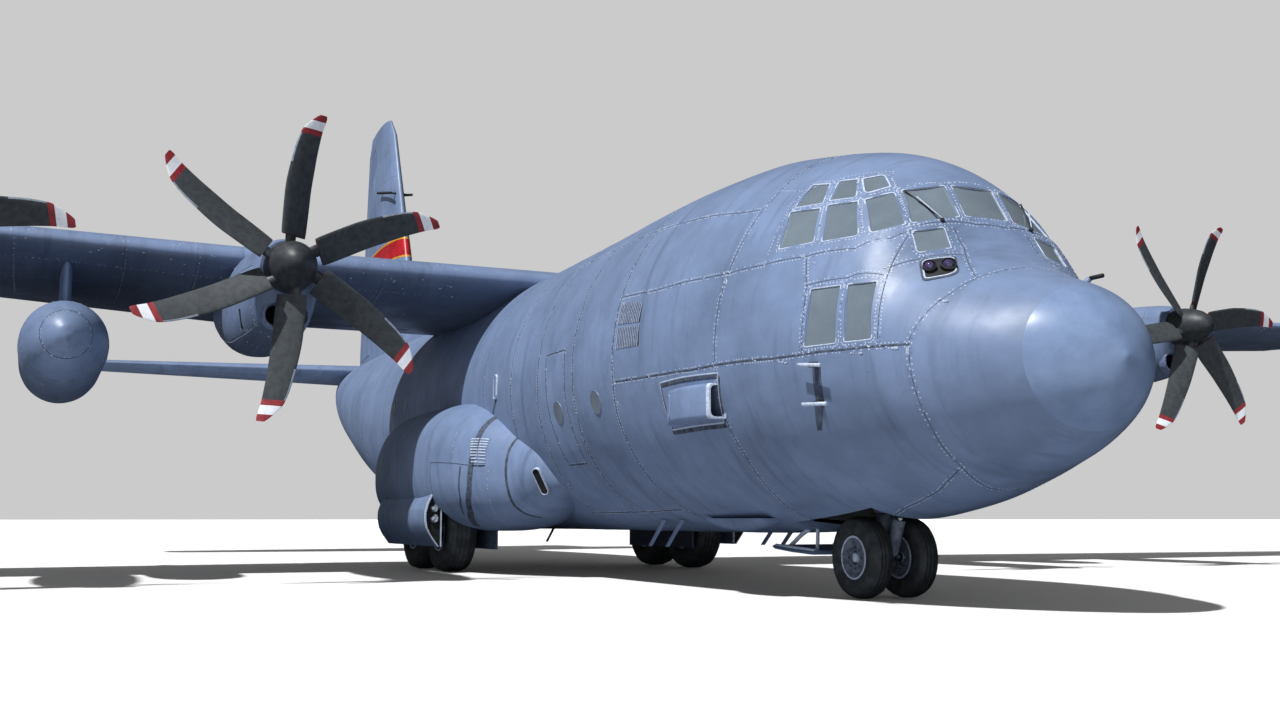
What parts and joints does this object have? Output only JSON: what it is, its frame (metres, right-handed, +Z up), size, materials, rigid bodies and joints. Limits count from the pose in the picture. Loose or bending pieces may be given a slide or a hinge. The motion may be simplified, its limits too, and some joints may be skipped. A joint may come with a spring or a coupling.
{
  "type": "four-engined turboprop military transport plane, 1:2 scale model",
  "caption": "High-wing turboprop transport with six-bladed propellers, under-wing tanks, side sponsons, rear loading ramp, parked on its wheels.",
  "frame": {"origin": "on the ground, under the middle of the bounding box", "axes": "+X to the nose, +Y to the port side, +Z up"},
  "size_m": [14.895, 20.205, 5.85],
  "materials": {
    "painted_skin": "satin blue-grey paint, weathered",
    "composite": "satin blue-grey paint on light panels",
    "engine_steel": "bare metal",
    "blade": "dark grey composite with red and white tip bands",
    "tyre": "black rubber",
    "steel": "light grey paint on steel",
    "glass": "clear laminated panes",
    "cabin": "grey-green primer",
    "black_panel": "black moulded panel",
    "fabric": "dark woven seat cover"
  },
  "bodies": {
    "airframe": {"aft_fuselage": "painted_skin", "cargo_floor": "cabin", "centre_fuselage": "painted_skin", "centre_wing": "painted_skin", "cockpit_floor": "cabin", "cockpit_glazing": "glass", "cockpit_shell": "painted_skin", "engine_left_inner": "engine_steel", "engine_left_outer": "engine_steel", "engine_right_inner": "engine_steel", "engine_right_outer": "engine_steel", "fin": "composite", "forward_fuselage": "painted_skin", "instrument_panel": "black_panel", "main_gear_door_left": "painted_skin", "main_gear_door_right": "painted_skin", "main_gear_leg_left": "steel", "main_gear_leg_right": "steel", "nacelle_left_inner": "painted_skin", "nacelle_left_outer": "painted_skin", "nacelle_right_inner": "painted_skin", "nacelle_right_outer": "painted_skin", "nose_gear_bay": "cabin", "nose_gear_door": "painted_skin", "nose_leg": "steel", "nose_radome": "composite", "outer_wing_left": "painted_skin", "outer_wing_right": "painted_skin", "para_door_left": "painted_skin", "para_door_right": "painted_skin", "pilot_seat_left": "fabric", "pilot_seat_right": "fabric", "sponson_left": "painted_skin", "sponson_right": "painted_skin", "tailplane": "composite", "wing_tank_left": "painted_skin", "wing_tank_right": "painted_skin"},
    "propeller_left_outer": {"propeller_left_outer": "blade"},
    "propeller_left_inner": {"propeller_left_inner": "blade"},
    "propeller_right_inner": {"propeller_right_inner": "blade"},
    "propeller_right_outer": {"propeller_right_outer": "blade"},
    "rudder": {"rudder": "composite"},
    "elevator_left": {"elevator_left": "composite"},
    "elevator_right": {"elevator_right": "composite"},
    "aileron_left": {"aileron_left": "painted_skin"},
    "aileron_right": {"aileron_right": "painted_skin"},
    "flap_inner_left": {"flap_inner_left": "painted_skin"},
    "flap_inner_right": {"flap_inner_right": "painted_skin"},
    "flap_outer_left": {"flap_outer_left": "painted_skin"},
    "flap_outer_right": {"flap_outer_right": "painted_skin"},
    "crew_door": {"crew_door": "painted_skin"},
    "ramp": {"ramp": "painted_skin"},
    "cargo_door": {"cargo_door": "painted_skin"},
    "nose_steering": {"nose_steering": "steel"},
    "nose_wheels": {"nose_wheels": "tyre"},
    "main_wheel_front_left": {"main_wheel_front_left": "tyre"},
    "main_wheel_front_right": {"main_wheel_front_right": "tyre"},
    "main_wheel_rear_left": {"main_wheel_rear_left": "tyre"},
    "main_wheel_rear_right": {"main_wheel_rear_right": "tyre"}
  },
  "joints": [
    {"name": "propeller_left_outer_spin", "type": "hinge", "parent": "airframe", "child": "propeller_left_outer", "pos_m": [3.0725, 5.11, 2.135], "axis": [1, 0, 0], "continuous": true},
    {"name": "propeller_left_inner_spin", "type": "hinge", "parent": "airframe", "child": "propeller_left_inner", "pos_m": [3.0725, 2.775, 2.06], "axis": [1, 0, 0], "continuous": true},
    {"name": "propeller_right_inner_spin", "type": "hinge", "parent": "airframe", "child": "propeller_right_inner", "pos_m": [3.0725, -2.775, 2.06], "axis": [1, 0, 0], "continuous": true},
    {"name": "propeller_right_outer_spin", "type": "hinge", "parent": "airframe", "child": "propeller_right_outer", "pos_m": [3.0725, -5.11, 2.135], "axis": [1, 0, 0], "continuous": true},
    {"name": "rudder_turn", "type": "hinge", "parent": "airframe", "child": "rudder", "pos_m": [-6.27582, 0, 2.65], "axis": [-0.079, 0, 0.9969], "range_deg": [-35, 35]},
    {"name": "elevator_left_turn", "type": "hinge", "parent": "airframe", "child": "elevator_left", "pos_m": [-6.26404, 0.575, 2.29303], "axis": [0.0321, 0.9995, 0.0053], "range_deg": [-15, 40]},
    {"name": "elevator_right_turn", "type": "hinge", "parent": "airframe", "child": "elevator_right", "pos_m": [-6.26404, -0.575, 2.29303], "axis": [-0.0321, 0.9995, -0.0053], "range_deg": [-15, 40]},
    {"name": "aileron_left_turn", "type": "hinge", "parent": "airframe", "child": "aileron_left", "pos_m": [-0.02167, 6.71, 2.42216], "axis": [0.0723, 0.9965, 0.0409], "range_deg": [-20, 20]},
    {"name": "aileron_right_turn", "type": "hinge", "parent": "airframe", "child": "aileron_right", "pos_m": [-0.02167, -6.71, 2.42216], "axis": [-0.0723, 0.9965, -0.0409], "range_deg": [-20, 20]},
    {"name": "flap_inner_left_turn", "type": "hinge", "parent": "airframe", "child": "flap_inner_left", "pos_m": [-0.2581, 2.17, 1.78856], "axis": [0, 1, 0], "range_deg": [-35, 0]},
    {"name": "flap_inner_right_turn", "type": "hinge", "parent": "airframe", "child": "flap_inner_right", "pos_m": [-0.2581, -2.17, 1.78856], "axis": [0, 1, 0], "range_deg": [-35, 0]},
    {"name": "flap_outer_left_turn", "type": "hinge", "parent": "airframe", "child": "flap_outer_left", "pos_m": [-0.10812, 4.935, 1.87805], "axis": [0, 1, 0], "range_deg": [-35, 0]},
    {"name": "flap_outer_right_turn", "type": "hinge", "parent": "airframe", "child": "flap_outer_right", "pos_m": [-0.10812, -4.935, 1.87805], "axis": [0, 1, 0], "range_deg": [-35, 0]},
    {"name": "crew_door_turn", "type": "hinge", "parent": "airframe", "child": "crew_door", "pos_m": [5.1725, 0.651, 0.55], "axis": [-1, 0, 0], "range_deg": [0, 85]},
    {"name": "ramp_turn", "type": "hinge", "parent": "airframe", "child": "ramp", "pos_m": [-1.4875, 0, 0.34], "axis": [0, 1, 0], "range_deg": [-22, 0]},
    {"name": "cargo_door_turn", "type": "hinge", "parent": "airframe", "child": "cargo_door", "pos_m": [-4.6775, 0, 1.45974], "axis": [0, 1, 0], "range_deg": [-20, 0]},
    {"name": "nose_steer", "type": "hinge", "parent": "airframe", "child": "nose_steering", "pos_m": [5.6225, 0, 0.22], "axis": [0, 0, 1], "range_deg": [-60, 60]},
    {"name": "nose_wheels_spin", "type": "hinge", "parent": "nose_steering", "child": "nose_wheels", "pos_m": [5.6225, 0, 0.22], "axis": [0, 1, 0], "continuous": true},
    {"name": "main_wheel_front_left_spin", "type": "hinge", "parent": "airframe", "child": "main_wheel_front_left", "pos_m": [1.1225, 1.105, 0.355], "axis": [0, 1, 0], "continuous": true},
    {"name": "main_wheel_front_right_spin", "type": "hinge", "parent": "airframe", "child": "main_wheel_front_right", "pos_m": [1.1225, -1.105, 0.355], "axis": [0, 1, 0], "continuous": true},
    {"name": "main_wheel_rear_left_spin", "type": "hinge", "parent": "airframe", "child": "main_wheel_rear_left", "pos_m": [0.335, 1.105, 0.355], "axis": [0, 1, 0], "continuous": true},
    {"name": "main_wheel_rear_right_spin", "type": "hinge", "parent": "airframe", "child": "main_wheel_rear_right", "pos_m": [0.335, -1.105, 0.355], "axis": [0, 1, 0], "continuous": true}
  ],
  "couplings": [
    {"joint": "elevator_right_turn", "follows": "elevator_left_turn", "ratio": 1},
    {"joint": "aileron_right_turn", "follows": "aileron_left_turn", "ratio": -1},
    {"joint": "flap_inner_right_turn", "follows": "flap_inner_left_turn", "ratio": 1},
    {"joint": "flap_outer_left_turn", "follows": "flap_inner_left_turn", "ratio": 1},
    {"joint": "flap_outer_right_turn", "follows": "flap_inner_left_turn", "ratio": 1}
  ]
}
